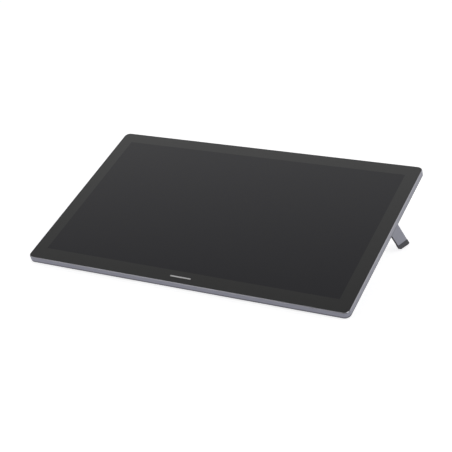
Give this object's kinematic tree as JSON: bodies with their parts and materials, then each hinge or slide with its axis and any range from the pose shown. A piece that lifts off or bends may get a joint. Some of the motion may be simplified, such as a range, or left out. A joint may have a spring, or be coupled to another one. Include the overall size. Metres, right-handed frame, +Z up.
{
  "type": "pen display",
  "caption": "Flat pen display for drawing on: dark etched glass in a slim metal frame, leaning on rubber-tipped legs that fold flat into its back.",
  "frame": {"origin": "on the ground under the middle of the whole object's box, with both legs out", "axes": "+X to the right along the screen's width, +Y away from the user, +Z up"},
  "size_m": [0.575, 0.3296, 0.1306],
  "materials": {
    "frame_metal": "anodised satin, fine bead blast, bright chamfer",
    "dark_glass": "etched anti-glare, black printed border",
    "tape": "matte",
    "panel_glass": "polarised, dark",
    "white_film": "matte white",
    "clear_acrylic": "clear",
    "led_board": "white mask with yellow emitters",
    "tray_metal": "stamped",
    "shield_steel": "thin sheet",
    "circuit_board": "solder mask",
    "chip_plastic": "matte",
    "thermal_rubber": "soft",
    "copper_foil": "rolled",
    "cable_film": "satin film",
    "port_steel": "drawn shell",
    "black_plastic": "fine texture",
    "light_pipe": "frosted",
    "back_metal": "anodised, bead blast",
    "brass_insert": "knurled",
    "screw_steel": "black zinc",
    "foot_rubber": "matte moulded",
    "hinge_steel": "machined",
    "leg_metal": "anodised satin",
    "key_metal": "anodised satin"
  },
  "bodies": {
    "display": {"frame": "frame_metal", "cover_glass": "dark_glass", "glass_tape": "tape", "lcd_panel": "panel_glass", "diffuser_sheets": "white_film", "light_guide": "clear_acrylic", "reflector_sheet": "white_film", "led_strip": "led_board", "backlight_tray": "tray_metal", "digitizer_board": "circuit_board", "shield_sheet": "shield_steel", "chassis": "tray_metal", "panel_board": "circuit_board", "display_cable": "cable_film", "main_board": "circuit_board", "main_board_chips": "chip_plastic", "processor": "chip_plastic", "thermal_pad": "thermal_rubber", "heat_spreader": "copper_foil", "board_standoffs": "brass_insert", "board_screws": "screw_steel", "digitizer_controller": "circuit_board", "digitizer_cable": "cable_film", "usb_ports": "port_steel", "video_port": "port_steel", "port_bezel": "black_plastic", "key_board": "circuit_board", "key_switches": "chip_plastic", "key_cable": "cable_film", "power_light_pipe": "light_pipe", "lock_plate": "screw_steel", "back_cover": "back_metal", "mount_inserts": "brass_insert", "cover_screws": "screw_steel", "front_strips": "foot_rubber", "rest_pads": "foot_rubber", "hinge_bracket_left": "hinge_steel", "hinge_bracket_right": "hinge_steel", "hinge_pin_left": "hinge_steel", "hinge_pin_right": "hinge_steel", "friction_washers": "hinge_steel", "hinge_screws": "screw_steel"},
    "left_leg": {"leg_left": "leg_metal", "leg_tip_left": "foot_rubber"},
    "right_leg": {"leg_right": "leg_metal", "leg_tip_right": "foot_rubber"},
    "power_key": {"power_key": "key_metal"},
    "brightness_up_key": {"brightness_up_key": "key_metal"},
    "brightness_down_key": {"brightness_down_key": "key_metal"}
  },
  "joints": [
    {"name": "right_leg_fold", "type": "hinge", "parent": "display", "child": "right_leg", "pos_m": [0.2635, 0.04814, 0.07657], "axis": [0, 0.9397, 0.342], "range_deg": [0, 90]},
    {"name": "left_leg_fold", "type": "hinge", "parent": "display", "child": "left_leg", "pos_m": [-0.2635, 0.04814, 0.07657], "axis": [0, -0.9397, -0.342], "range_deg": [0, 90]},
    {"name": "power_key_press", "type": "slide", "parent": "display", "child": "power_key", "axis": [0, -0.9397, -0.342], "range_m": [0, 0.0005], "stiffness_N_per_m": 700, "springref_m": -0.0005},
    {"name": "brightness_up_key_press", "type": "slide", "parent": "display", "child": "brightness_up_key", "axis": [0, -0.9397, -0.342], "range_m": [0, 0.0005], "stiffness_N_per_m": 700, "springref_m": -0.0005},
    {"name": "brightness_down_key_press", "type": "slide", "parent": "display", "child": "brightness_down_key", "axis": [0, -0.9397, -0.342], "range_m": [0, 0.0005], "stiffness_N_per_m": 700, "springref_m": -0.0005}
  ]
}
